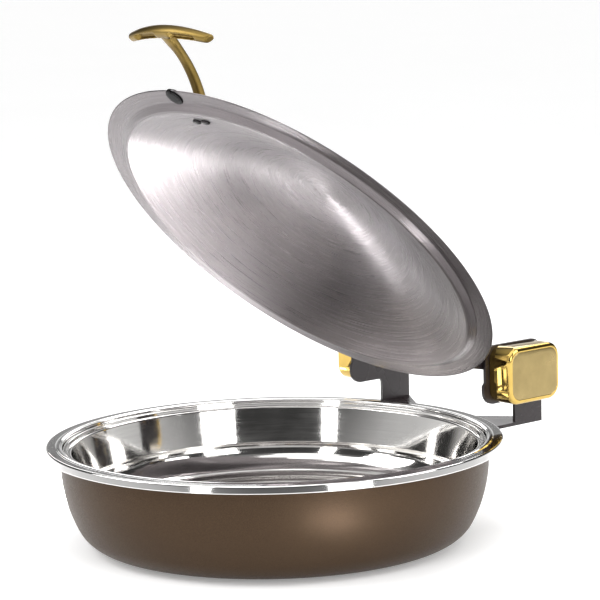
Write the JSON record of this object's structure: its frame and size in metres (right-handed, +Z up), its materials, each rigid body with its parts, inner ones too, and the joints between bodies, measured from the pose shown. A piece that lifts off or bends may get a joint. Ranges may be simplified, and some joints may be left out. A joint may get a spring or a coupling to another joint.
{
  "type": "round hinged chafer",
  "caption": "Round induction chafer: coated water pan with polished rim, lift-out food pan and a domed lid on a rear friction hinge with a tee handle.",
  "frame": {"origin": "centre of the base disc's underside, on the bowl's axis", "axes": "+Z up; -Y towards the guest, where the handle is; +Y towards the hinge; +X to the right seen from the front"},
  "size_m": [0.3925, 0.4395, 0.4447],
  "materials": {
    "coated_body": "satin bronze coat with a fine metallic grain",
    "polished_steel": "mirror polished stainless steel",
    "induction_steel": "turned matt steel",
    "zinc_steel": "bright zinc",
    "hinge_black": "semi-gloss dark coat",
    "gold_cover": "polished gold plate",
    "dark_screws": "blackened steel",
    "friction_fibre": "pressed fibre",
    "brushed_lid": "circular brushed stainless steel",
    "bronze_bush": "turned bearing bronze",
    "brass_handle": "satin cast brass",
    "black_gasket": "matt",
    "bumper_rubber": "semi-gloss black"
  },
  "bodies": {
    "base": {"water_pan": "coated_body", "rim_ring": "polished_steel", "base_disc": "induction_steel", "rim_bosses": "zinc_steel", "yoke_screws": "zinc_steel", "hinge_bracket": "hinge_black", "hinge_cover_left": "gold_cover", "hinge_cover_right": "gold_cover", "cover_screws": "dark_screws", "pivot_bolt_left": "dark_screws", "pivot_bolt_right": "dark_screws", "friction_disc_left": "friction_fibre", "friction_disc_right": "friction_fibre", "spring_washer_left": "zinc_steel", "spring_washer_right": "zinc_steel", "pivot_nut_left": "zinc_steel", "pivot_nut_right": "zinc_steel"},
    "lid": {"lid_shell": "brushed_lid", "lid_hinge_strap": "hinge_black", "arm_bushing_left": "bronze_bush", "arm_bushing_right": "bronze_bush", "lid_handle": "brass_handle", "handle_gasket": "black_gasket", "handle_screws": "dark_screws", "lid_bumper": "bumper_rubber"},
    "food_pan": {"food_pan": "polished_steel"}
  },
  "joints": [
    {"name": "lid_hinge", "type": "hinge", "parent": "base", "child": "lid", "pos_m": [0, 0.2145, 0.137], "axis": [-1, 0, 0], "range_deg": [-45, 45]},
    {"name": "food_pan_lift", "type": "slide", "parent": "base", "child": "food_pan", "axis": [0, 0, 1], "range_m": [0, 0.003]}
  ]
}
